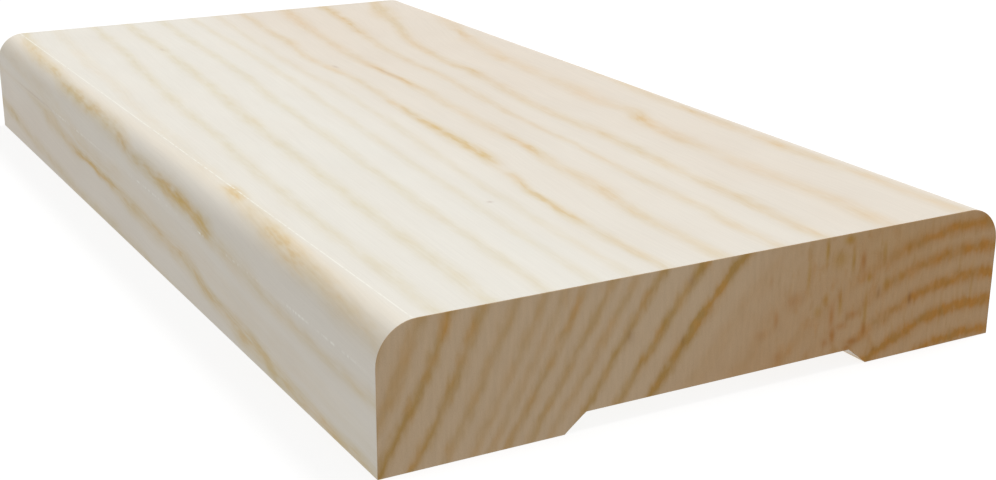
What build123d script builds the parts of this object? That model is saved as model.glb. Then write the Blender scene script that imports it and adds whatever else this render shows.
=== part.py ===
"""A short length of planed pine architrave, machined from one piece of wood.

It lies on its back: X runs along the grain, Y across the face and Z up out of the
face. The origin is on the floor under the middle of the piece.
"""

from build123d import *
import os

# Driving sizes, in millimetres
length = 175.0  # between the two square saw cuts
face_width = 90.0  # edge to edge across the face
thickness = 18.0  # back to face
arris_radius = 5.0  # rounding of both face arrises
wide_leg = 23.7  # flat back left of the channel, at the -Y edge
narrow_leg = 21.2  # flat back right of the channel, at the +Y edge
channel_depth = 2.3  # relief cut into the back
splay_run = 2.9  # how far each sloping channel side leans inwards over the depth

# Places that follow from the sizes, across the back
left_edge = -face_width / 2
right_edge = face_width / 2
channel_mouth_left = left_edge + wide_leg
channel_mouth_right = right_edge - narrow_leg
channel_floor_left = channel_mouth_left + splay_run
channel_floor_right = channel_mouth_right - splay_run

with BuildPart() as architrave:
    # The section stands in the YZ plane, so its own x is Y and its own y is Z.
    with BuildSketch(Plane.YZ) as section:
        Rectangle(face_width, thickness, align=(Align.CENTER, Align.MIN))
        face_corners = section.vertices().group_by(Axis.Y)[-1]
        fillet(face_corners, arris_radius)

        # The relief channel lets the back bridge an uneven wall.
        with BuildLine():
            Polyline(
                (channel_mouth_left, 0),
                (channel_floor_left, channel_depth),
                (channel_floor_right, channel_depth),
                (channel_mouth_right, 0),
                close=True,
            )
        make_face(mode=Mode.SUBTRACT)

    extrude(amount=length / 2, both=True)

os.makedirs("parts", exist_ok=True)
architrave.part.label = "architrave"
export_step(architrave.part, "parts/architrave.step")
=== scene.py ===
from dataclasses import dataclass, fields
from math import ceil, radians

import bpy
import numpy as np
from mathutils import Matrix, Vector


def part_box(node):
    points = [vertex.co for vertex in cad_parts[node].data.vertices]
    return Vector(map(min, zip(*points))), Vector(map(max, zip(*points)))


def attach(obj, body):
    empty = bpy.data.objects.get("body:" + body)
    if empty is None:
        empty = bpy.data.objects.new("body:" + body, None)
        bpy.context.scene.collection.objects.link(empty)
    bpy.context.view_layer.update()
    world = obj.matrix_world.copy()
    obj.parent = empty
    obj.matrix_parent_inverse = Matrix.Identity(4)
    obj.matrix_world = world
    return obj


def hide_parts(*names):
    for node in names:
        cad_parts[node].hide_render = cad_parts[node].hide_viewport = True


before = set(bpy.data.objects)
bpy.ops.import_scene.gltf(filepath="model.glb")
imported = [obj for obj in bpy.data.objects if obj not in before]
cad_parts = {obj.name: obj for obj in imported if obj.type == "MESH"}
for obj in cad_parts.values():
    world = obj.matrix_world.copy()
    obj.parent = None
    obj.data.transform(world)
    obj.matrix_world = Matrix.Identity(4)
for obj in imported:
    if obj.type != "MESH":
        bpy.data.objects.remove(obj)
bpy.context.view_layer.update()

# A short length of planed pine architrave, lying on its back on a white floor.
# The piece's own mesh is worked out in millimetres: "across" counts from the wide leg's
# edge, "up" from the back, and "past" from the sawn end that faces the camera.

low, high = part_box("architrave")

# The solid's overall sizes, and the sizes of its section, in millimetres
metre = 1000.0
length = (high.x - low.x) * metre
width = (high.y - low.y) * metre
thickness = (high.z - low.z) * metre
arris_radius = 5.0
wide_leg = 23.7
narrow_leg = 21.2
channel_depth = 2.3
splay_run = 2.9

# How finely the surface is meshed, in millimetres
cell_across = 0.5
cell_along = 1.0
cell_up = 0.5
arris_steps = 12

# The section's outline is rounded where the cosine between two of its steps is more than
# this, and the shading breaks at edges that turn by more than this
rounded_cosine = 0.95
sharp_angle = radians(25)

# Real relief, in millimetres: softwood planes a little lower between the growth lines,
# and the saw leaves fine upright ridges and a slightly frayed edge
planed_relief = 0.03
sawn_relief = 0.05
frayed_edge = 0.05
frayed_seed = 18

# The saw's ridges: their share of the sawn relief, how fast they repeat in radians for each
# millimetre across, how far and how fast they bend, and how low they are before they grow
# to their full height between two places across
ridge_share = 0.4
ridge_rate = 4.1
ridge_bend = 0.9
ridge_bend_up = 0.7
ridge_bend_across = 0.23
ridge_least = 0.4
ridges_grow = (30.0, 60.0)

# The camera that fits the photograph's straight edges, with places in metres
camera_place = (0.22992, -0.10975, 0.07979)
camera_turn = (radians(71.473), radians(-0.259), radians(60.905))
camera_lens = 57.76
camera_nearest = 0.01

# Light: a room that is evenly pale all round, and a soft lamp above the narrow leg's side
room_strength = 0.60
lamp_strength = 1.42
lamp_softness = radians(20)
lamp_tilt = (radians(-28), 0.0, 0.0)

# The floor as the camera sees it: its own glow, the share of light that it gives back,
# which keeps the shadow, and half its side in metres
floor_glow = 0.80
floor_answer = 0.26
floor_half = 2.0

# Colours as they look on screen, from 0 to 255: the wood between the growth lines, the
# painted highlight line and the brown marks
planed_white = (234, 230, 220)
planed_pink = (228, 217, 202)
sawn_pale = (197, 172, 141)
sawn_brown = (188, 154, 116)
painted_highlight_pale = (250, 247, 237)
marked_brown = (150, 106, 76)

# Stains on planed wood: what is left of red, green, blue and cover where each is full.
# Growth lines turn golden where they are darker than this, and rubbing makes wood paler.
olive_line = (0.87, 0.80, 0.61, 1.0)
orange_line = (0.97, 0.80, 0.59, 1.0)
golden_line = (0.92, 0.77, 0.42, 1.0)
golden_above = 0.8
rubbed_wood = (1.08, 1.05, 1.01, 1.0)

# Stains on sawn wood
olive_ring = (0.76, 0.63, 0.32, 1.0)
orange_ring = (0.92, 0.66, 0.27, 1.0)
blotch_stain = (0.86, 0.64, 0.38, 1.0)
combed_stain = (0.90, 0.83, 0.62, 1.0)
dash_stain = (0.86, 0.76, 0.40, 1.0)
resin_stain = (0.50, 0.40, 0.38, 1.0)

# How rough each surface is, how much it shines, and how high its bumps are, in metres. On
# planed wood, also how strongly fibres lighten and darken it, and how high growth lines
# stand beside the fibres.
planed_roughness = 0.62
planed_shine = 0.25
planed_bump = 0.00001
fibre_light = 0.10
line_height = 0.5
sawn_roughness = 0.85
sawn_shine = 0.15
sawn_bump = 0.00003

# A noise's seed moves its pattern this way
seed_way = (1.0, 0.37, 1.91)


# How growth lines and rings stray of themselves

# Three waves are added: each one's height, its length over two pi, where it starts, and
# how far it is shifted from one line to the next
waves = (
    (0.20, 9.7, 0.0, 0.35),
    (0.13, 5.3, 1.7, 0.60),
    (0.06, 2.1, 4.1, 0.90),
)
line_waver = 0.5
ring_waver = 0.8

# The usual millimetres from one line or ring to the next, and the radii at which turning
# about the pith counts as millimetres, for noise and for wavering
usual_pitch = 6.0
usual_radius = 60.0
waver_radius = 40.0


# Growth lines on the face, the arrises and both edges

# These surfaces are unrolled into one flat strip, measured across from where the wide
# leg's edge would meet the face if it were square. The face runs from 5 to 85. Below
# that come the arris and the wide leg's edge, and above it the narrow leg's.
# Each line has how dark it is, half its breadth, how warm it is from 0, olive, to 1, orange,
# and where it crosses the strip at these distances past the near end. The last five are out
# of sight, and meet the near end's rings.
line_stations = np.arange(0.0, 176.0, 25.0)
growth_lines = (
    (0.56, 1.1, 0.1, (-22.0, -20.0, -18.0, -16.5, -15.3, -15.1, -13.1, -11.0)),
    (0.70, 1.6, 0.3, (-15.8, -14.6, -12.0, -9.5, -8.1, -7.1, -4.5, -3.6)),
    (0.12, 1.5, 0.3, (-12.5, -10.5, -8.6, -7.0, -4.8, -3.4, -1.4, 0.5)),
    (0.64, 1.1, 0.3, (-7.1, -5.9, -3.6, -1.2, 0.6, 1.2, 2.8, 5.4)),
    (0.20, 1.3, 0.4, (-0.3, 1.3, 3.6, 5.2, 6.2, 8.4, 9.6, 12.0)),
    (0.44, 1.15, 0.0, (7.5, 8.5, 9.4, 11.3, 12.9, 14.9, 17.6, 19.0)),
    (0.50, 1.3, 0.0, (14.0, 15.6, 17.0, 18.7, 20.8, 23.0, 24.7, 25.7)),
    (0.42, 1.05, 0.0, (21.3, 23.0, 24.4, 26.7, 28.2, 30.6, 31.9, 33.0)),
    (0.33, 0.9, 0.1, (27.5, 29.3, 30.8, 33.0, 35.0, 37.1, 38.3, 39.3)),
    (0.29, 0.9, 0.2, (32.4, 33.6, 35.4, 38.4, 40.0, 41.0, 42.9, 44.8)),
    (0.56, 1.1, 0.4, (37.3, 38.1, 41.5, 43.1, 45.4, 45.9, 48.1, 50.5)),
    (0.52, 1.45, 0.5, (45.5, 46.7, 49.2, 51.4, 53.0, 53.8, 56.5, 60.5)),
    (0.48, 1.05, 0.4, (54.0, 55.0, 57.0, 58.2, 60.3, 61.5, 65.2, 68.8)),
    (0.56, 1.4, 0.4, (60.8, 61.7, 63.5, 64.1, 66.5, 67.6, 74.3, 81.2)),
    (0.42, 2.0, 0.6, (71.3, 72.0, 73.1, 75.6, 76.9, 79.6, 85.7, 92.0)),
    (0.50, 1.5, 0.6, (83.7, 83.7, 84.0, 85.0, 87.5, 91.0, 96.0, 101.0)),
    (0.60, 1.2, 0.6, (89.4, 89.6, 90.3, 91.6, 94.0, 97.5, 102.5, 107.5)),
    (0.55, 1.1, 0.6, (92.8, 93.2, 94.2, 96.0, 98.8, 102.5, 107.0, 112.0)),
    (0.60, 1.2, 0.6, (96.9, 97.4, 98.6, 100.6, 103.6, 107.5, 112.0, 117.0)),
    (0.65, 1.1, 0.6, (101.5, 102.0, 103.3, 105.5, 108.5, 112.0, 117.0, 122.0)),
    (0.60, 1.2, 0.6, (105.6, 106.2, 107.6, 110.0, 113.0, 117.0, 122.0, 127.0)),
)

# How far the next line would lie beyond the first and the last, and the least half breadth
unseen_pitch = 9.0
least_breadth = 0.4

# Stretches where a line changes: which line, how far past the near end, half the stretch,
# how much darker, how much wider, and how far the line moves across
line_stretches = (
    (0, 168.0, 8.0, 0.20, 0.0, 0.0),
    (1, 165.0, 18.0, -0.50, -0.8, 0.0),
    (1, 136.0, 5.0, 0.05, 0.7, 0.4),
    (1, 109.0, 12.0, 0.70, -0.8, 0.0),
    (1, 85.0, 12.0, 0.20, 0.5, 0.0),
    (1, 63.0, 7.0, 0.20, 0.7, 0.9),
    (1, 55.0, 5.0, 0.25, -0.3, -0.5),
    (1, 36.0, 9.0, 0.30, 1.1, 0.2),
    (1, 14.0, 12.0, 0.15, -0.2, 0.0),
    (2, 150.0, 22.0, 0.08, 0.3, 0.0),
    (2, 110.0, 17.0, 0.20, -0.2, -1.3),
    (3, 158.0, 10.0, 0.12, 0.4, -0.3),
    (3, 141.0, 5.0, 0.20, 0.0, 0.5),
    (3, 122.0, 14.0, 0.35, 0.0, 0.0),
    (3, 105.0, 12.0, 0.05, 0.4, 0.3),
    (3, 92.0, 16.0, 0.18, 0.1, -0.1),
    (3, 86.0, 7.0, 0.00, 0.0, -0.8),
    (3, 64.0, 12.0, 0.85, 0.2, 0.3),
    (3, 54.0, 4.0, 0.08, 0.4, 0.0),
    (3, 42.0, 7.0, -0.10, 0.8, 0.2),
    (4, 24.0, 24.0, 0.50, 0.35, 0.4),
    (4, 53.0, 3.5, 0.80, -0.2, 0.2),
    (4, 32.0, 7.0, 0.22, 0.0, 0.0),
    (10, 143.0, 6.0, 0.10, 0.2, 0.6),
    (10, 108.0, 6.0, 0.00, 0.0, 0.5),
    (10, 80.0, 9.0, 0.30, 0.0, 0.3),
    (10, 61.5, 11.5, 0.65, 0.2, 0.3),
    (10, 46.0, 2.5, -0.30, 0.0, -0.3),
    (10, 36.0, 6.0, 0.00, 0.0, -0.5),
    (10, 31.0, 11.0, 0.45, -0.3, 0.0),
    (10, 7.0, 5.0, 0.20, -0.2, 0.0),
    (11, 165.0, 10.0, 0.15, 0.5, -0.4),
    (11, 107.0, 12.0, 0.42, -0.5, -0.1),
    (11, 55.0, 6.0, 0.45, -0.4, 0.6),
    (11, 33.0, 8.0, 0.10, 0.2, 0.8),
    (11, 24.0, 7.0, 0.20, 0.0, 0.0),
    (12, 160.0, 18.0, 0.45, 0.2, 0.2),
    (12, 60.0, 22.0, 0.00, -0.3, -0.2),
    (12, 17.0, 3.0, 0.00, 0.0, 0.6),
    (13, 172.0, 5.0, 0.25, 0.0, 0.0),
    (13, 161.0, 8.0, 0.20, 1.0, -0.6),
    (13, 143.0, 10.0, 0.15, 0.0, 0.0),
    (13, 122.0, 10.0, 0.15, -0.2, 0.3),
    (13, 105.0, 5.0, 0.30, -0.2, 0.4),
    (13, 50.0, 7.0, 0.15, 0.0, 0.1),
    (13, 17.0, 6.0, 0.15, 0.0, 0.5),
    (14, 135.0, 4.0, 0.40, -0.9, 0.0),
    (14, 126.0, 5.0, 0.00, 0.0, -0.5),
    (14, 112.0, 4.0, 0.20, 0.0, -0.3),
    (14, 80.0, 8.0, 0.05, 0.5, -0.4),
    (14, 66.0, 4.0, 0.00, 0.0, 1.4),
    (14, 62.0, 4.0, 0.10, 0.0, 0.2),
    (14, 56.0, 11.0, 0.32, -0.2, -0.2),
    (14, 38.0, 3.0, -0.15, 0.0, 0.4),
    (14, 12.0, 8.0, 0.15, -0.2, 1.0),
    (15, 60.0, 4.0, 0.25, -0.6, 0.2),
    (15, 35.0, 8.0, 0.15, 0.0, -0.2),
)

# Where the wood turns from white to pink: from where to where, how pink it gets at the near
# end, and how pink at the far one. On the face the places are numbers of growth lines, and
# on the wide leg's arris and edge they are places on the strip.
face_pink = (
    (7.0, 11.5, 0.45, 0.95),
    (12.5, 14.0, 0.30, 0.00),
)
edge_pink = (
    (5.0, 0.0, 0.38, 0.38),
    (-2.0, -10.0, 0.00, 0.40),
)
far_end_pink = 0.15

# A painted highlight: a thin pale line where the curve of the arris meets the face
highlight_line_strip = 4.6
highlight_line_half = 0.09

# Small marks on the strip: how far past the near end, where on the strip, half the length,
# half the breadth, and how strong. The arris is rubbed a little paler half way round, all
# along. The marks at -4 are a second painted highlight line, just below the arris, which
# is brown towards the far end.
rubbed_arris = (
    (0.0, 3.1, 1000.0, 1.3, 1.0),
)
second_highlight_marks = (
    (78.0, -4.0, 10.0, 0.15, 1.0),
    (57.0, -4.0, 3.0, 0.15, 1.0),
    (41.0, -4.0, 6.0, 0.15, 1.0),
    (22.0, -4.0, 4.0, 0.15, 1.0),
    (10.0, -4.0, 5.0, 0.15, 1.0),
    (124.0, -4.0, 16.0, 0.15, 0.9),
)
brown_marks = (
    (32.9, 31.9, 0.40, 0.40, 0.28),
    (109.0, 53.1, 6.0, 0.30, 0.20),
    (118.1, 47.1, 1.2, 0.35, 0.25),
    (146.9, 24.3, 1.0, 0.3, 0.20),
    (146.0, -4.0, 13.0, 0.16, 0.18),
)

# Both painted highlight lines are rows of dots. The first is nearly whole, and the second is
# sparse.
first_highlight_wholeness = 0.9
second_highlight_wholeness = 0.3


# Growth rings on the sawn ends and the back

# The rings turn about the pith, which lies outside the piece and drifts along it. Across
# the wide leg they are straightened, as they are drawn in by this much in the middle of the
# thickness, and they lean out at its bottom corner. Each sets in between two places.
pith_near = (86.0, -27.0)
pith_far = (92.3, -35.4)
ring_straightness = 0.7
straight_across = (56.0, 44.0)
corner_lean = 0.7
lean_up = (11.0, 4.0)
lean_across = (7.0, 3.0)

# Each ring's radius at the near end, how dark it is, and half its breadth
growth_rings = (
    (24.2, 0.75, 0.8),
    (28.1, 0.95, 0.85),
    (32.2, 1.10, 0.9),
    (36.2, 1.00, 0.9),
    (39.8, 0.95, 0.9),
    (43.2, 1.00, 1.0),
    (48.2, 0.30, 1.2),
    (53.4, 0.15, 1.3),
    (58.6, 1.10, 0.75),
    (62.6, 0.80, 0.75),
    (66.8, 0.72, 0.65),
    (69.5, 0.40, 0.65),
    (72.0, 0.62, 0.65),
    (74.9, 0.58, 0.7),
    (76.9, 0.28, 0.6),
    (79.1, 0.42, 0.75),
    (82.3, 0.48, 0.8),
    (85.8, 0.76, 0.7),
    (89.4, 0.85, 0.7),
    (92.6, 0.50, 1.0),
    (96.5, 0.60, 0.9),
)

# Wood within the first radius is darkest and warmest, and beyond the second it is palest
dark_radii = (40.0, 67.0)

# Middling rings fade in one mottled place on the sawn ends. The fading sets in and ends
# between these radii.
faded_across = 62.0
faded_half = 13.0
faded_share = 0.90
fading_sets_in = (33.0, 38.0)
fading_ends = (57.0, 53.0)

# On sawn ends the rings' own warmth counts for less, and all of them are a little warmer
sawn_warmth = 0.5
sawn_warmer = 0.15

# Marks on the near end: how far across, how far up, half the breadth, half the height, and
# how strong. First the mottled place, then olive dashes and brown blotches that the saw
# smeared upright, then resin.
mottled_place = (
    (64.0, 9.0, 10.0, 30.0, 0.65),
)
olive_dashes = (
    (71.0, 16.0, 11.0, 5.0, 0.20),
    (58.6, 13.5, 0.35, 2.2, 0.7),
    (61.3, 16.3, 0.35, 1.8, 1.0),
    (63.4, 14.8, 1.30, 1.3, 0.7),
    (64.8, 17.2, 1.00, 0.7, 1.0),
    (65.6, 14.4, 0.35, 1.8, 0.9),
    (60.3, 8.4, 0.60, 0.8, 0.6),
    (61.5, 9.8, 0.50, 0.8, 0.7),
    (63.9, 8.8, 0.35, 1.4, 0.8),
    (68.4, 11.6, 0.40, 0.7, 1.0),
    (68.1, 7.0, 0.35, 3.0, 0.8),
    (70.7, 14.6, 0.45, 1.8, 0.8),
    (71.4, 10.2, 0.60, 1.0, 0.9),
    (73.8, 10.9, 0.70, 0.7, 0.8),
    (74.8, 14.6, 0.45, 1.0, 0.7),
    (81.1, 5.0, 0.25, 2.0, 0.4),
    (83.9, 11.0, 0.30, 4.0, 0.35),
    (86.3, 7.5, 0.25, 3.0, 0.5),
)
brown_blotches = (
    (52.7, 13.8, 0.30, 0.8, 0.30),
    (53.8, 8.6, 0.40, 1.1, 0.55),
    (51.5, 7.0, 0.90, 0.7, 0.35),
    (54.3, 3.6, 0.60, 0.8, 0.40),
    (56.6, 10.6, 1.30, 1.0, 0.45),
    (61.8, 4.0, 0.60, 0.6, 0.60),
    (62.6, 7.4, 0.45, 1.6, 0.80),
    (62.9, 4.8, 0.50, 1.2, 0.95),
    (64.2, 5.8, 0.80, 0.5, 0.60),
    (66.0, 7.1, 0.90, 0.5, 0.50),
    (67.2, 14.0, 0.50, 1.3, 0.90),
    (66.2, 3.4, 1.00, 0.5, 0.85),
    (65.4, 2.7, 0.60, 0.4, 0.80),
    (68.0, 4.8, 0.45, 0.8, 0.70),
)
resin_spots = (
    (75.5, 7.6, 0.32, 0.9, 0.60),
    (70.1, 9.3, 0.22, 0.7, 0.35),
    (40.8, 16.0, 0.40, 0.8, 0.30),
    (32.4, 10.6, 0.50, 0.9, 0.25),
    (39.9, 8.4, 0.30, 0.8, 0.25),
)

# The saw combed the wood near the narrow leg: where across that sets in and is full, how
# strong the combed streaks are, how strongly saw marks and pores lighten and darken the
# wood, and how much more strongly where it is combed
combed_across = (49.0, 69.0)
combed_strength = 0.7
sawn_light = 0.16
sawn_light_added = 0.04


def hump(value, middle, half, power=2):
    """1 at the middle, and about a third where it is half away on either side."""
    return np.exp(-(((value - middle) / half) ** power))


def smooth_step(value, start, stop):
    """Goes from 0 at start to 1 at stop."""
    share = np.clip((value - start) / (stop - start), 0.0, 1.0)
    return share * share * (3.0 - 2.0 * share)


def waver(distance, phase):
    """A gentle wandering of about a third of a millimetre either way."""
    return sum(
        height * np.sin(distance / run + start + shift * phase)
        for height, run, start, shift in waves
    )


def smooth_path(past, places):
    """A smooth curve through a growth line's places at the line stations."""
    places = np.array(places)
    slopes = np.gradient(places, line_stations)
    at = np.searchsorted(line_stations, past, side="right") - 1
    at = np.clip(at, 0, len(line_stations) - 2)
    span = line_stations[at + 1] - line_stations[at]
    share = (past - line_stations[at]) / span
    rest = 1.0 - share
    return (
        places[at] * (1 + 2 * share) * rest**2
        + places[at + 1] * (3 - 2 * share) * share**2
        + slopes[at] * span * share * rest**2
        - slopes[at + 1] * span * share**2 * rest
    )


def line_places(past):
    """Where each growth line crosses the strip: one row for each line."""
    numbers = np.arange(len(growth_lines))
    places = np.array([smooth_path(past, line[3]) for line in growth_lines])
    places += line_waver * waver(past[None, :], numbers[:, None])
    for line, middle, half, _, _, shift in line_stretches:
        places[line] += shift * hump(past, middle, half)
    return places


@dataclass
class Wood:
    """What the grain is like at a set of points, as arrays of one shape."""

    count: np.ndarray  # growth lines passed, whole at the middle of each line
    pitch: np.ndarray  # millimetres from one line to the next
    dark: np.ndarray  # how dark the nearest line is
    breadth: np.ndarray  # half the breadth of the nearest line, in millimetres
    warmth: np.ndarray  # 0 where the lines are olive, 1 where they are orange
    tone: np.ndarray  # 0 where the wood is whitest, 1 where it is pinkest
    along: np.ndarray  # millimetres along the fibres, or round the rings on a sawn end
    across: np.ndarray  # millimetres across the fibres
    strip: np.ndarray  # millimetres round the section

    def latewood(self):
        """How much latewood there is, from 0 to 1."""
        off = (self.count - np.round(self.count)) * self.pitch
        return np.clip(self.dark, 0.0, 1.0) * hump(off, 0.0, self.breadth)


def read_off(count, rows, column):
    """One column of a table of lines or rings, read off at each point's count."""
    return np.interp(count, np.arange(len(rows)), [row[column] for row in rows])


def pinkness(places, farther, fades):
    """How pink a list of fades makes the wood, from the near end to the far one."""
    return sum(
        smooth_step(places, start, stop) * (near + (far - near) * farther)
        for start, stop, near, far in fades
    )


def wood_in_strip(past, strip):
    """The grain on the face and both edges: one row for each distance past."""
    shape = (len(past), len(strip))
    numbers = np.arange(-1.0, len(growth_lines) + 1.0)
    places = line_places(past)
    count = np.zeros(shape)
    pitch = np.zeros(shape)
    for row in range(len(past)):
        seen = places[:, row]
        outer = np.r_[seen[0] - unseen_pitch, seen, seen[-1] + unseen_pitch]
        count[row] = np.interp(strip, outer, numbers)
        gap = np.clip(np.searchsorted(outer, strip) - 1, 0, len(outer) - 2)
        pitch[row] = np.diff(outer)[gap]
    dark = read_off(count, growth_lines, 0)
    breadth = read_off(count, growth_lines, 1)
    warmth = read_off(count, growth_lines, 2)

    # A stretch acts fully up to a quarter of the way to the next line, and not at all
    # beyond three quarters
    for line, middle, half, darker, wider, _ in line_stretches:
        near_line = np.clip(1.5 - np.abs(count - line) * 2.0, 0.0, 1.0)
        in_stretch = hump(past, middle, half, power=4)[:, None]
        dark += darker * near_line * in_stretch
        breadth += wider * near_line * in_stretch
    dark = np.maximum(dark, 0.0)
    breadth = np.maximum(breadth, least_breadth)

    along = np.broadcast_to(past[:, None], shape)
    strips = np.broadcast_to(strip[None, :], shape)
    farther = along / length
    tone = np.maximum(pinkness(count, farther, face_pink), pinkness(strips, farther, edge_pink))
    tone = tone + far_end_pink * farther
    return Wood(count, pitch, dark, breadth, warmth, tone, along, count * usual_pitch, strips)


def wood_in_rings(past, across, up, end_grain):
    """The grain of a solid with round growth rings, at any point of it."""
    share = past / length
    pith_across = pith_near[0] + (pith_far[0] - pith_near[0]) * share
    pith_up = pith_near[1] + (pith_far[1] - pith_near[1]) * share
    radius = np.hypot(across - pith_across, up - pith_up)
    turn = np.arctan2(across - pith_across, up - pith_up)

    # The rings are straightened, lean at the corner, and waver
    half_up = thickness / 2
    middling = 1.0 - ((up - half_up) / half_up) ** 2
    radius = radius + ring_straightness * middling * smooth_step(across, *straight_across)
    radius = radius - corner_lean * smooth_step(up, *lean_up) * smooth_step(across, *lean_across)
    radius = radius + ring_waver * waver(past + waver_radius * turn, radius / usual_pitch)

    radii = np.array([ring[0] for ring in growth_rings])
    count = np.interp(radius, radii, np.arange(len(radii)))
    gap = np.clip(np.searchsorted(radii, radius) - 1, 0, len(radii) - 2)
    pitch = np.diff(radii)[gap]
    dark = read_off(count, growth_rings, 1)
    breadth = read_off(count, growth_rings, 2)
    if end_grain:
        fading = faded_share * hump(across, faded_across, faded_half)
        fading *= smooth_step(radius, *fading_sets_in) * smooth_step(radius, *fading_ends)
        dark = dark * (1.0 - fading)
    tone = 1.0 - smooth_step(radius, *dark_radii)
    along = turn * usual_radius if end_grain else np.broadcast_to(past, radius.shape)
    return Wood(count, pitch, dark, breadth, tone, tone, along, radius, np.zeros_like(radius))


def saw_ridges(across, up):
    """How deep the saw cut beside its upright ridges, from 0 to 1."""
    bend = ridge_bend * np.sin(up * ridge_bend_up + across * ridge_bend_across)
    ridges = 0.5 + 0.5 * np.sin(across * ridge_rate + bend)
    grown = smooth_step(across, *ridges_grow)
    return ridges * (ridge_least + (1.0 - ridge_least) * grown)


# The piece's mesh

def spread(start, stop, cell):
    """Even places from start to stop, no more than a cell apart."""
    return np.linspace(start, stop, ceil(abs(stop - start) / cell) + 1)


def section():
    """The section's columns: how far across each is, its bottom and its top."""
    angle = np.linspace(0.0, np.pi / 2, arris_steps + 1)
    arris_across = arris_radius - arris_radius * np.cos(angle)
    arris_up = thickness - arris_radius + arris_radius * np.sin(angle)
    corners = (
        arris_radius,
        wide_leg,
        wide_leg + splay_run,
        width - narrow_leg - splay_run,
        width - narrow_leg,
        width - arris_radius,
    )
    flats = [spread(a, b, cell_across)[1:] for a, b in zip(corners, corners[1:])]
    across = np.r_[arris_across, np.concatenate(flats), width - arris_across[-2::-1]]
    flat_top = np.full(sum(len(flat) for flat in flats), thickness)
    top = np.r_[arris_up, flat_top, arris_up[-2::-1]]
    bottom = np.interp(across, corners[1:5], (0.0, channel_depth, channel_depth, 0.0))
    return across, bottom, top


def section_grid():
    """Every point of the section, as rows from bottom to top of columns across."""
    across, bottom, top = section()
    share = np.linspace(0.0, 1.0, ceil((thickness - arris_radius) / cell_up) + 1)[:, None]
    up = bottom + (top - bottom) * share
    return np.broadcast_to(across, up.shape), up


def rim(rows, columns):
    """The grid's outer points: up the wide leg's edge, over the face, down, and back."""
    index = np.arange(rows * columns).reshape(rows, columns)
    return np.concatenate((index[:, 0], index[-1, 1:], index[-2::-1, -1], index[0, -2:0:-1]))


def inward(across, up):
    """Unit directions into the solid along the rim, and nought at its sharp corners."""
    d_across = np.roll(across, -1) - np.roll(across, 1)
    d_up = np.roll(up, -1) - np.roll(up, 1)
    size = np.hypot(d_across, d_up)
    before = np.c_[across - np.roll(across, 1), up - np.roll(up, 1)]
    after = np.c_[np.roll(across, -1) - across, np.roll(up, -1) - up]
    cosine = (before * after).sum(1) / np.hypot(*before.T) / np.hypot(*after.T)
    smooth = cosine > rounded_cosine
    return smooth * d_up / size, smooth * -d_across / size


def quads(first, second, third, fourth):
    """One four-sided face for each set of corners."""
    return np.stack((first, second, third, fourth), axis=-1).reshape(-1, 4)


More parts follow.
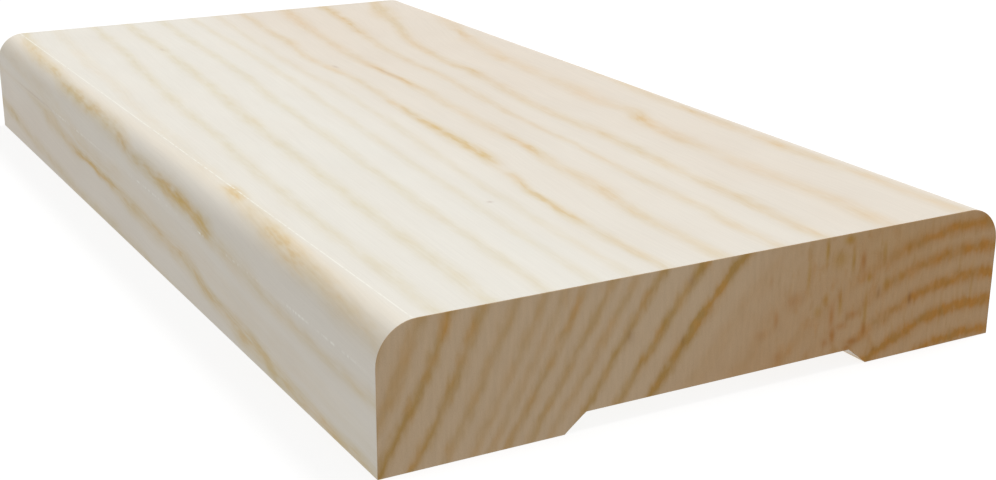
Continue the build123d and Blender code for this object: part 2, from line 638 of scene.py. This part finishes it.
class Architrave:
    """Works out the piece's points, its faces and the grain at each corner of each face."""

    def __init__(self):
        self.rng = np.random.default_rng(frayed_seed)
        self.grid_across, self.grid_up = section_grid()
        self.rows, self.columns = self.grid_up.shape
        self.rim = rim(self.rows, self.columns)
        self.rim_across = self.grid_across.ravel()[self.rim]
        self.rim_up = self.grid_up.ravel()[self.rim]
        self.inward = inward(self.rim_across, self.rim_up)

        # All the way round, with the first point again
        self.around_across = np.r_[self.rim_across, self.rim_across[0]]
        self.around_up = np.r_[self.rim_up, self.rim_up[0]]
        self.strip = self.measure_strip()
        self.strip_stop = self.rows - 1 + self.columns - 1 + self.rows - 1

        whole_steps = spread(cell_along, length - cell_along, cell_along)
        self.past = np.r_[frayed_edge, whole_steps, length - frayed_edge]

    def measure_strip(self):
        """How far round the section each point is, as places on the strip."""
        steps = np.hypot(np.diff(self.around_across), np.diff(self.around_up))
        travelled = np.r_[0.0, np.cumsum(steps)]
        face_start = self.rows - 1 + arris_steps
        return travelled - travelled[face_start] + arris_radius

    def long_wood(self):
        """The grain on the long faces: as lines on the strip, and as rings on the back."""
        past = self.past[:, None]
        across = self.around_across[None, :]
        up = self.around_up[None, :]
        return wood_in_strip(self.past, self.strip), wood_in_rings(past, across, up, False)

    def long_points(self, lined, ringed):
        """Points of the long faces, with the wood between the lines planed lower."""
        on_strip = np.arange(len(self.strip)) <= self.strip_stop
        late = np.where(on_strip, lined.latewood(), ringed.latewood())
        sunk = planed_relief * (1.0 - late[:, :-1])
        sunk[[0, -1]] = 0.0
        across = self.rim_across + self.inward[0] * sunk
        up = self.rim_up + self.inward[1] * sunk
        past = np.broadcast_to(self.past[:, None], across.shape)
        return np.stack((past, across, up), axis=-1).reshape(-1, 3)

    def frayed(self):
        """How far each point of a sawn edge is eased, in millimetres."""
        rough = self.rng.random(len(self.rim))
        rough = (np.roll(rough, 1) + rough + np.roll(rough, -1)) / 3.0
        return frayed_edge * (0.5 + rough)

    def end_points(self, past):
        """Points of a sawn end: a frayed rim, and upright saw ridges within it."""
        across, up = self.grid_across.ravel().copy(), self.grid_up.ravel().copy()
        eased = self.frayed()
        corner = (self.inward[0] == 0) & (self.inward[1] == 0)
        toward_across = np.sign(width / 2 - self.rim_across)
        toward_up = np.sign(thickness / 2 - self.rim_up)
        across[self.rim] += eased * np.where(corner, toward_across, self.inward[0])
        up[self.rim] += eased * np.where(corner, toward_up, self.inward[1])
        early = 1.0 - wood_in_rings(past, across, up, True).latewood()
        ridges = saw_ridges(across, up)
        depth = sawn_relief * ((1.0 - ridge_share) * early + ridge_share * ridges)
        depth[self.rim] = 0.0
        into = 1.0 if past == 0 else -1.0
        return np.stack((past + into * depth, across, up), axis=-1)

    def long_faces(self):
        """One face for each step past and each step round the rim."""
        around = len(self.rim)
        step, turn = np.meshgrid(np.arange(len(self.past) - 1), np.arange(around), indexing="ij")
        here, there = step * around, (step + 1) * around
        following = (turn + 1) % around
        faces = quads(here + turn, there + turn, there + following, here + following)
        corner_step = quads(step, step + 1, step + 1, step).reshape(-1)
        corner_turn = quads(turn, turn, turn + 1, turn + 1).reshape(-1)
        on_strip = np.repeat((turn < self.strip_stop).reshape(-1), 4)
        return faces, corner_step, corner_turn, on_strip

    def end_faces(self, near_start, far_start):
        """The eased edges, which join the long faces to the ends, and the ends themselves."""
        around = np.arange(len(self.rim))
        after = np.roll(around, -1)
        last = (len(self.past) - 1) * len(self.rim)
        rim_after = np.roll(self.rim, -1)
        near_ease = quads(near_start + self.rim, around, after, near_start + rim_after)
        far_ease = quads(last + around, far_start + self.rim, far_start + rim_after, last + after)
        index = np.arange(self.rows * self.columns).reshape(self.rows, self.columns)
        cells = quads(index[:-1, :-1], index[:-1, 1:], index[1:, 1:], index[1:, :-1])
        return np.vstack((near_ease, far_ease, cells + near_start, cells[:, ::-1] + far_start))

    def build(self):
        """The points, the faces, how many of them are planed, and the wood at each corner."""
        lined, ringed = self.long_wood()
        long_points = self.long_points(lined, ringed)
        near_points = self.end_points(0.0)
        far_points = self.end_points(length)
        points = np.vstack((long_points, near_points, far_points))
        near_start = len(long_points)
        long_faces, corner_step, corner_turn, on_strip = self.long_faces()
        end_faces = self.end_faces(near_start, near_start + len(near_points))
        past, across, up = points[end_faces.reshape(-1)].T
        sawn = wood_in_rings(np.where(past > length / 2, length, 0.0), across, up, True)

        def gathered(name):
            by_line = getattr(lined, name)[corner_step, corner_turn]
            by_ring = getattr(ringed, name)[corner_step, corner_turn]
            return np.r_[np.where(on_strip, by_line, by_ring), getattr(sawn, name)]

        wood = Wood(*(gathered(field.name) for field in fields(Wood)))
        return points, np.vstack((long_faces, end_faces)), len(long_faces), wood


def give(mesh, name, kind, values):
    """Stores one value for each corner of each face."""
    field = "value" if kind == "FLOAT" else "vector"
    layer = mesh.attributes.new(name, kind, "CORNER")
    layer.data.foreach_set(field, np.ascontiguousarray(values, dtype=np.float32).ravel())


def make_architrave(long_grain, end_grain):
    """The dressed piece, which stands for the whole solid."""
    points, faces, long_count, wood = Architrave().build()
    placed = np.c_[length / 2 - points[:, 0], points[:, 1] - width / 2, points[:, 2]] / metre
    mesh = bpy.data.meshes.new("planed_architrave")
    mesh.from_pydata(placed.tolist(), [], faces.tolist())
    mesh.materials.append(long_grain)
    mesh.materials.append(end_grain)
    sawn = np.zeros(len(faces), dtype=np.int32)
    sawn[long_count:] = 1
    mesh.polygons.foreach_set("material_index", sawn)
    give(mesh, "growth", "FLOAT", wood.count)
    give(mesh, "tone", "FLOAT", wood.tone)
    give(mesh, "warmth", "FLOAT", wood.warmth)
    give(mesh, "line_shape", "FLOAT_VECTOR", np.c_[wood.pitch, wood.breadth, wood.dark])
    give(mesh, "grain_space", "FLOAT_VECTOR", np.c_[wood.along, wood.across, wood.strip])
    mesh.shade_smooth()
    mesh.set_sharp_from_angle(angle=sharp_angle)
    piece = bpy.data.objects.new("planed_architrave", mesh)
    bpy.context.collection.objects.link(piece)
    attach(piece, "root")
    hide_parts("architrave")


# Shader nodes

def plug(tree, socket, value):
    """Wires an output to a socket, or sets the socket to a plain value."""
    if isinstance(value, bpy.types.NodeSocket):
        tree.links.new(value, socket)
    else:
        socket.default_value = value


def maths(tree, operation, *values, clamp=False):
    """One step of arithmetic on outputs and plain values."""
    node = tree.nodes.new("ShaderNodeMath")
    node.operation = operation
    node.use_clamp = clamp
    for socket, value in zip(node.inputs, values):
        plug(tree, socket, value)
    return node.outputs[0]


def bell(tree, off):
    """1 where the value is nought, and about a third where it is one either way."""
    squared = maths(tree, "MULTIPLY", off, off)
    return maths(tree, "EXPONENT", maths(tree, "MULTIPLY", squared, -1.0))


def patches(tree, level, start, steepness):
    """Turns noise into patches: 0 below the start, then rising steeply to 1."""
    return maths(tree, "MULTIPLY", maths(tree, "SUBTRACT", level, start), steepness, clamp=True)


def attribute(tree, name, output):
    """A value that the mesh stores."""
    node = tree.nodes.new("ShaderNodeAttribute")
    node.attribute_name = name
    return node.outputs[output]


def split(tree, vector):
    """A vector's three numbers."""
    node = tree.nodes.new("ShaderNodeSeparateXYZ")
    plug(tree, node.inputs[0], vector)
    return node.outputs


def blend(tree, factor, first, second, how="MIX"):
    """Mixes two colours."""
    node = tree.nodes.new("ShaderNodeMix")
    node.data_type = "RGBA"
    node.blend_type = how
    sockets = {socket.identifier: socket for socket in node.inputs}
    plug(tree, sockets["Factor_Float"], factor)
    plug(tree, sockets["A_Color"], first)
    plug(tree, sockets["B_Color"], second)
    return next(socket for socket in node.outputs if socket.identifier == "Result_Color")


def tinted(tree, name, drift, first, second, weight=1.0):
    """Mixes two colours by a value that the mesh stores, and that drifts a little."""
    share = maths(tree, "MULTIPLY_ADD", attribute(tree, name, "Fac"), weight, drift, clamp=True)
    return blend(tree, share, first, second)


def stain(tree, amount, colour, share_kept):
    """Lets each of a colour's bands keep only a share of its light, as a stain does."""
    return blend(tree, amount, colour, share_kept, how="MULTIPLY")


def lightened(tree, colour, light):
    """The colour with each band scaled by one plus the light."""
    level = maths(tree, "ADD", light, 1.0)
    shade = tree.nodes.new("ShaderNodeCombineXYZ")
    for socket in shade.inputs:
        plug(tree, socket, level)
    return stain(tree, 1.0, colour, shade.outputs[0])


def paint(colour):
    """A colour given as it looks on screen, from 0 to 255, in the shader's own terms."""
    shares = np.array(colour) / 255.0
    linear = np.where(shares <= 0.04045, shares / 12.92, ((shares + 0.055) / 1.055) ** 2.4)
    return (*linear.tolist(), 1.0)


def noise(tree, vector, scale, seed, detail, strength):
    """Noise about nought, mostly within a third of its strength either way."""
    mapping = tree.nodes.new("ShaderNodeMapping")
    plug(tree, mapping.inputs["Vector"], vector)
    mapping.inputs["Location"].default_value = [seed * way for way in seed_way]
    mapping.inputs["Scale"].default_value = scale
    texture = tree.nodes.new("ShaderNodeTexNoise")
    plug(tree, texture.inputs["Vector"], mapping.outputs[0])
    texture.inputs["Scale"].default_value = 1.0
    texture.inputs["Detail"].default_value = detail
    return maths(tree, "MULTIPLY", maths(tree, "SUBTRACT", texture.outputs[0], 0.5), strength)


def grain_noise(tree, along, across, seed, detail=2.0, strength=1.0):
    """Noise whose patches are so many millimetres along and across the grain."""
    space = attribute(tree, "grain_space", "Vector")
    return noise(tree, space, (1.0 / along, 1.0 / across, 0.0), seed, detail, strength)


def end_noise(tree, place, across, up, seed, detail=2.0, strength=1.0):
    """Noise whose patches are so many millimetres across and up a sawn end."""
    return noise(tree, place, (0.0, metre / across, metre / up), seed, detail, strength)


def spots(tree, vector, marks):
    """How strongly soft-edged marks show, each with a centre, half sizes and a strength."""
    total = 0.0
    for centre, halves, strength in marks:
        offset = tree.nodes.new("ShaderNodeVectorMath")
        offset.operation = "MULTIPLY_ADD"
        plug(tree, offset.inputs[0], vector)
        offset.inputs[1].default_value = [1.0 / half for half in halves]
        offset.inputs[2].default_value = [-place / half for place, half in zip(centre, halves)]
        reach = tree.nodes.new("ShaderNodeVectorMath")
        reach.operation = "DOT_PRODUCT"
        plug(tree, reach.inputs[0], offset.outputs[0])
        plug(tree, reach.inputs[1], offset.outputs[0])
        soft = maths(tree, "EXPONENT", maths(tree, "MULTIPLY", reach.outputs["Value"], -1.0))
        total = maths(tree, "MAXIMUM", total, maths(tree, "MULTIPLY", soft, strength))
    return total


def strip_spots(tree, space, marks):
    """How strongly marks on the strip show, in the grain's own space."""
    anywhere = 1e6
    return spots(tree, space, [
        ((past, 0.0, strip), (half_length, anywhere, half_breadth), strength)
        for past, strip, half_length, half_breadth, strength in marks
    ])


def end_spots(tree, place, marks):
    """How strongly marks on the near end show, at places in metres."""
    near_only = 30.0
    placed = []
    for across, up, half_breadth, half_height, strength in marks:
        centre = np.array((length / 2, across - width / 2, up)) / metre
        halves = np.array((near_only, half_breadth, half_height)) / metre
        placed.append((centre.tolist(), halves.tolist(), strength))
    return spots(tree, place, placed)


def latewood(tree, feather, patchy):
    """How much latewood shows: 0 between lines, about 1 in the middle of a dark one."""
    pitch, breadth, dark = split(tree, attribute(tree, "line_shape", "Vector"))
    stray = maths(tree, "DIVIDE", feather, pitch)
    count = maths(tree, "ADD", attribute(tree, "growth", "Fac"), stray)
    share = maths(tree, "SUBTRACT", maths(tree, "FRACT", maths(tree, "ADD", count, 0.5)), 0.5)
    off = maths(tree, "DIVIDE", maths(tree, "MULTIPLY", share, pitch), breadth)
    depth = maths(tree, "MULTIPLY", dark, maths(tree, "ADD", 1.0, patchy))
    return maths(tree, "MULTIPLY", bell(tree, off), depth)


def only_node(tree, kind):
    """The one node of a kind that a new tree starts with."""
    return next(node for node in tree.nodes if node.type == kind)


def new_material(name):
    """A new material and its node tree."""
    material = bpy.data.materials.new(name)
    material.use_nodes = True
    return material, material.node_tree


def dress(tree, colour, roughness, shine, height, bump_height):
    """Gives a new material's shader its colour, its gloss and its bumps."""
    shader = only_node(tree, "BSDF_PRINCIPLED")
    plug(tree, shader.inputs["Base Color"], colour)
    shader.inputs["Roughness"].default_value = roughness
    shader.inputs["Specular IOR Level"].default_value = shine
    bump = tree.nodes.new("ShaderNodeBump")
    bump.inputs["Distance"].default_value = bump_height
    bump.inputs["Strength"].default_value = 1.0
    plug(tree, bump.inputs["Height"], height)
    plug(tree, shader.inputs["Normal"], bump.outputs[0])


def painted_highlight_lines(tree, space):
    """Painted highlight lines: thin pale rows of dots along the edges of the arris, and how
    strongly they show.
    """
    strip = split(tree, space)[2]
    off = maths(tree, "DIVIDE", maths(tree, "SUBTRACT", strip, highlight_line_strip), highlight_line_half)
    dots = grain_noise(tree, along=0.9, across=1000.0, seed=51.0, strength=5.0)
    first_dots = maths(tree, "ADD", dots, first_highlight_wholeness, clamp=True)
    first = maths(tree, "MULTIPLY", bell(tree, off), first_dots)
    second_dots = maths(tree, "ADD", dots, second_highlight_wholeness, clamp=True)
    second = maths(tree, "MULTIPLY", strip_spots(tree, space, second_highlight_marks), second_dots)
    return maths(tree, "MAXIMUM", first, second)


def make_long_grain():
    """Planed faces: pale wood, soft olive and orange lines, fine fibres, a few marks and painted
    highlight lines.
    """
    material, tree = new_material("pine_long_grain")
    feather = grain_noise(tree, along=7.0, across=2.2, seed=3.0, detail=4.0, strength=1.5)
    streaky = grain_noise(tree, along=3.0, across=0.5, seed=67.0, strength=1.2)
    patchy = grain_noise(tree, along=7.0, across=3.0, seed=11.0, strength=1.6)
    late = latewood(tree, feather, maths(tree, "ADD", patchy, streaky))

    # Early wood, whitest at the wide leg and pinker towards the narrow one
    mottle = grain_noise(tree, along=14.0, across=5.0, seed=19.0, strength=0.4)
    early = tinted(tree, "tone", mottle, paint(planed_white), paint(planed_pink))

    # Latewood keeps less blue than red, and turns golden where it is darkest
    drift = grain_noise(tree, along=12.0, across=4.0, seed=43.0)
    keeps = tinted(tree, "warmth", drift, olive_line, orange_line)
    colour = stain(tree, maths(tree, "MINIMUM", late, 1.0), early, keeps)
    gold = maths(tree, "SUBTRACT", late, golden_above, clamp=True)
    colour = stain(tree, gold, colour, golden_line)

    # Fibres and a slight unevenness
    fibre = grain_noise(tree, along=9.0, across=0.16, seed=27.0, detail=3.0)
    uneven = grain_noise(tree, along=18.0, across=5.0, seed=61.0, strength=0.06)
    colour = lightened(tree, colour, maths(tree, "MULTIPLY_ADD", fibre, fibre_light, uneven))

    # The rubbed arris, the painted highlight lines and small brown marks
    space = attribute(tree, "grain_space", "Vector")
    colour = stain(tree, strip_spots(tree, space, rubbed_arris), colour, rubbed_wood)
    colour = blend(tree, painted_highlight_lines(tree, space), colour, paint(painted_highlight_pale))
    colour = blend(tree, strip_spots(tree, space, brown_marks), colour, paint(marked_brown))

    # Growth lines and fibres stand a little proud
    height = maths(tree, "MULTIPLY_ADD", late, line_height, fibre)
    dress(tree, colour, planed_roughness, planed_shine, height, planed_bump)
    return material


def make_end_grain():
    """Sawn ends: browner wood, darker rings, upright saw marks, blotches and resin."""
    material, tree = new_material("pine_end_grain")
    place = tree.nodes.new("ShaderNodeTexCoord").outputs["Object"]

    # The saw leaves the rings' edges stepped
    feather = grain_noise(tree, along=2.6, across=1.6, seed=5.0, detail=4.0)
    steps = end_noise(tree, place, across=0.8, up=2.5, seed=41.0, strength=1.1)
    patchy = grain_noise(tree, along=3.0, across=2.0, seed=13.0, strength=1.6)
    late = latewood(tree, maths(tree, "ADD", feather, steps), patchy)

    # Early wood, brownest within the smaller rings, and latewood from olive to orange
    mottle = grain_noise(tree, along=4.0, across=2.5, seed=21.0, strength=0.5)
    early = tinted(tree, "tone", mottle, paint(sawn_pale), paint(sawn_brown))
    drift = grain_noise(tree, along=2.5, across=3.0, seed=47.0, strength=2.8)
    drift = maths(tree, "ADD", drift, sawn_warmer)
    keeps = tinted(tree, "warmth", drift, olive_ring, orange_ring, weight=sawn_warmth)
    colour = stain(tree, maths(tree, "MINIMUM", late, 1.0), early, keeps)

    # Blotches of the same stain where the rings fade
    blotches = end_noise(tree, place, across=1.5, up=2.4, seed=71.0, detail=3.0)
    blotches = patches(tree, blotches, start=0.02, steepness=3.5)
    faded = end_spots(tree, place, mottled_place)
    colour = stain(tree, maths(tree, "MULTIPLY", blotches, faded), colour, keeps)

    # Saw marks and pores stand out more, and streaks are combed, near the narrow leg
    start, full = combed_across
    slope = metre / (full - start)
    offset = (width / 2 - start) / (full - start)
    combed = maths(tree, "MULTIPLY_ADD", split(tree, place)[1], slope, offset, clamp=True)
    marks = end_noise(tree, place, across=0.5, up=3.2, seed=31.0, detail=3.0)
    pores = end_noise(tree, place, across=0.16, up=0.16, seed=37.0)
    rough = maths(tree, "ADD", marks, pores)
    level = maths(tree, "MULTIPLY_ADD", combed, sawn_light_added, sawn_light)
    colour = lightened(tree, colour, maths(tree, "MULTIPLY", rough, level))
    streaks = end_noise(tree, place, across=0.7, up=2.6, seed=83.0, detail=3.0)
    streaks = patches(tree, streaks, start=0.06, steepness=5.0)
    streaks = maths(tree, "MULTIPLY", streaks, maths(tree, "MULTIPLY", combed, combed_strength))
    colour = stain(tree, streaks, colour, combed_stain)

    # Marks that the saw smeared, and resin
    stains = (
        (brown_blotches, blotch_stain),
        (olive_dashes, dash_stain),
        (resin_spots, resin_stain),
    )
    for places, share_kept in stains:
        colour = stain(tree, end_spots(tree, place, places), colour, share_kept)
    dress(tree, colour, sawn_roughness, sawn_shine, rough, sawn_bump)
    return material


# Floor, light and camera

def seen_or_lighting(tree, lighting, seen):
    """One shader for what the camera sees, also by way of gloss or glass, and one for light."""
    path = tree.nodes.new("ShaderNodeLightPath").outputs
    mirrored = maths(tree, "MAXIMUM", path["Is Glossy Ray"], path["Is Transmission Ray"])
    choice = tree.nodes.new("ShaderNodeMixShader")
    plug(tree, choice.inputs[0], maths(tree, "MAXIMUM", path["Is Camera Ray"], mirrored))
    plug(tree, choice.inputs[1], lighting)
    plug(tree, choice.inputs[2], seen)
    return choice.outputs[0]


def even_glow(tree, strength):
    """A plain white light of one strength."""
    glow = tree.nodes.new("ShaderNodeEmission")
    glow.inputs["Strength"].default_value = strength
    return glow.outputs[0]


def make_floor():
    """A white floor that lights the piece as the room does, and keeps its shadow."""
    material, tree = new_material("white_floor")
    tree.nodes.clear()
    answer = tree.nodes.new("ShaderNodeBsdfDiffuse")
    answer.inputs["Color"].default_value = (floor_answer, floor_answer, floor_answer, 1.0)
    look = tree.nodes.new("ShaderNodeAddShader")
    plug(tree, look.inputs[0], even_glow(tree, floor_glow))
    plug(tree, look.inputs[1], answer.outputs[0])
    surface = seen_or_lighting(tree, even_glow(tree, room_strength), look.outputs[0])
    output = tree.nodes.new("ShaderNodeOutputMaterial")
    plug(tree, output.inputs["Surface"], surface)
    mesh = bpy.data.meshes.new("floor")
    ways = ((-1, -1), (1, -1), (1, 1), (-1, 1))
    corners = [(x * floor_half, y * floor_half, 0.0) for x, y in ways]
    mesh.from_pydata(corners, [], [(0, 1, 2, 3)])
    mesh.materials.append(material)
    floor = bpy.data.objects.new("floor", mesh)
    bpy.context.collection.objects.link(floor)


def make_room():
    """A pale room all round, which the camera sees as white."""
    world = bpy.data.worlds.new("room")
    world.use_nodes = True
    tree = world.node_tree
    ambient = only_node(tree, "BACKGROUND")
    backdrop = tree.nodes.new("ShaderNodeBackground")
    for shader, strength in ((ambient, room_strength), (backdrop, 1.0)):
        shader.inputs["Color"].default_value = (1.0, 1.0, 1.0, 1.0)
        shader.inputs["Strength"].default_value = strength
    surface = seen_or_lighting(tree, ambient.outputs[0], backdrop.outputs[0])
    plug(tree, only_node(tree, "OUTPUT_WORLD").inputs["Surface"], surface)
    bpy.context.scene.world = world


def make_lamp():
    """A wide soft lamp, so far off that its light is the same everywhere."""
    light = bpy.data.lights.new("lamp", "SUN")
    light.energy = lamp_strength
    light.angle = lamp_softness
    lamp = bpy.data.objects.new("lamp", light)
    lamp.rotation_euler = lamp_tilt
    bpy.context.collection.objects.link(lamp)


def make_camera():
    """The camera, where the photograph was taken from."""
    lens = bpy.data.cameras.new("camera")
    lens.lens = camera_lens
    lens.clip_start = camera_nearest
    camera = bpy.data.objects.new("camera", lens)
    camera.location = camera_place
    camera.rotation_euler = camera_turn
    bpy.context.collection.objects.link(camera)
    bpy.context.scene.camera = camera


make_camera()
make_room()
make_lamp()
make_floor()
make_architrave(make_long_grain(), make_end_grain())

bpy.context.scene.view_settings.view_transform = "Standard"
